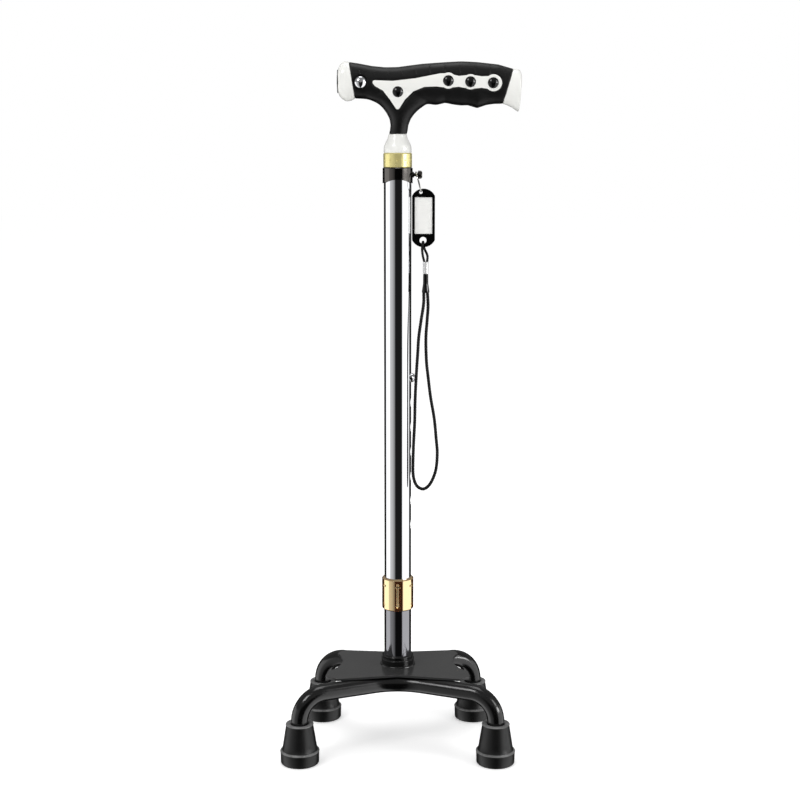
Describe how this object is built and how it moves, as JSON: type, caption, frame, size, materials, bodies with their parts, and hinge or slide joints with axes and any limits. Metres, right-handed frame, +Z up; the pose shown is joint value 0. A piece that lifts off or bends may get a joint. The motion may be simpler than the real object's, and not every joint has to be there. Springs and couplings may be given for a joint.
{
  "type": "quad walking cane",
  "caption": "Telescoping walking cane with a moulded T-grip, a lamp in the nose, a wrist strap with a tag, and a four-footed base with rubber feet.",
  "frame": {"origin": "on the floor, on the axis of the shaft", "axes": "+Z up along the shaft, +X towards the tail of the handle and the strap, the lamp in the nose faces -X, and the front pair of feet is at -Y"},
  "size_m": [0.2361, 0.163, 0.6848],
  "materials": {
    "chrome": "mirror bright",
    "black_paint": "gloss",
    "plate_paint": "satin",
    "black_rubber": "satin",
    "grip_rubber": "satin",
    "gold": "bright anodised",
    "white_plastic": "gloss",
    "black_plastic": "gloss",
    "dark_plastic": "matt",
    "steel": "satin",
    "bright_steel": "bright",
    "clear_plastic": "clear",
    "board_green": "matt",
    "contact_brass": "satin",
    "paper_white": "matt",
    "black_cord": "woven"
  },
  "bodies": {
    "base": {"base_plate": "plate_paint", "base_socket": "black_paint", "front_leg_tube": "black_paint", "rear_leg_tube": "black_paint", "foot_front_left": "black_rubber", "foot_front_right": "black_rubber", "foot_rear_left": "black_rubber", "foot_rear_right": "black_rubber", "foot_washers": "steel", "base_bolt": "steel", "base_washer": "steel", "tube_plug": "dark_plastic", "lower_sleeve": "black_paint", "inner_tube": "bright_steel", "inner_bush": "dark_plastic", "button_spring": "steel"},
    "button": {"snap_button": "chrome"},
    "upper": {"outer_tube": "chrome", "outer_bush": "dark_plastic", "strap_collar": "black_paint", "strap_stud": "bright_steel", "ferrule_ring": "gold", "handle_core": "white_plastic", "grip_overmould": "grip_rubber", "inlay_front": "white_plastic", "inlay_back": "white_plastic", "studs_front": "black_plastic", "studs_back": "black_plastic", "nose_cap": "white_plastic", "lamp_lens": "clear_plastic", "lamp_reflector": "bright_steel", "led_board": "board_green", "coin_cells": "steel", "battery_contacts": "contact_brass", "switch_bezel": "dark_plastic", "switch_spring": "steel"},
    "lock_ring": {"lock_ring": "gold"},
    "switch": {"switch_button": "chrome"},
    "ring": {"split_ring": "bright_steel"},
    "tag": {"tag_frame": "black_plastic", "tag_label": "paper_white", "tag_window": "clear_plastic"},
    "strap": {"short_cord": "black_cord", "strap_clip": "bright_steel", "cord_sleeve": "black_plastic", "wrist_cord": "black_cord"}
  },
  "joints": [
    {"name": "height_adjust", "type": "slide", "parent": "base", "child": "upper", "axis": [0, 0, 1], "range_m": [0, 0.15]},
    {"name": "snap_button_press", "type": "slide", "parent": "base", "child": "button", "axis": [-1, 0, 0], "range_m": [0, 0.0055], "stiffness_N_per_m": 1200, "springref_m": -0.002, "deforming": ["button_spring"]},
    {"name": "lock_ring_turn", "type": "hinge", "parent": "upper", "child": "lock_ring", "pos_m": [0, 0, 0.1535], "axis": [0, 0, 1], "range_deg": [0, 90]},
    {"name": "lamp_switch_press", "type": "slide", "parent": "upper", "child": "switch", "axis": [0, 1, 0], "range_m": [0, 0.0015], "stiffness_N_per_m": 900, "springref_m": -0.001, "deforming": ["switch_spring"]},
    {"name": "ring_swing", "type": "hinge", "parent": "upper", "child": "ring", "pos_m": [0.01805, 0, 0.5767], "axis": [1, 0, 0], "range_deg": [-40, 0]},
    {"name": "tag_swing", "type": "hinge", "parent": "ring", "child": "tag", "pos_m": [0.02274, 0, 0.56033], "axis": [0, 1, 0], "range_deg": [-30, 0]},
    {"name": "strap_swing", "type": "hinge", "parent": "tag", "child": "strap", "pos_m": [0.0249, 0, 0.51113], "axis": [0, 1, 0], "range_deg": [-30, 0]}
  ]
}
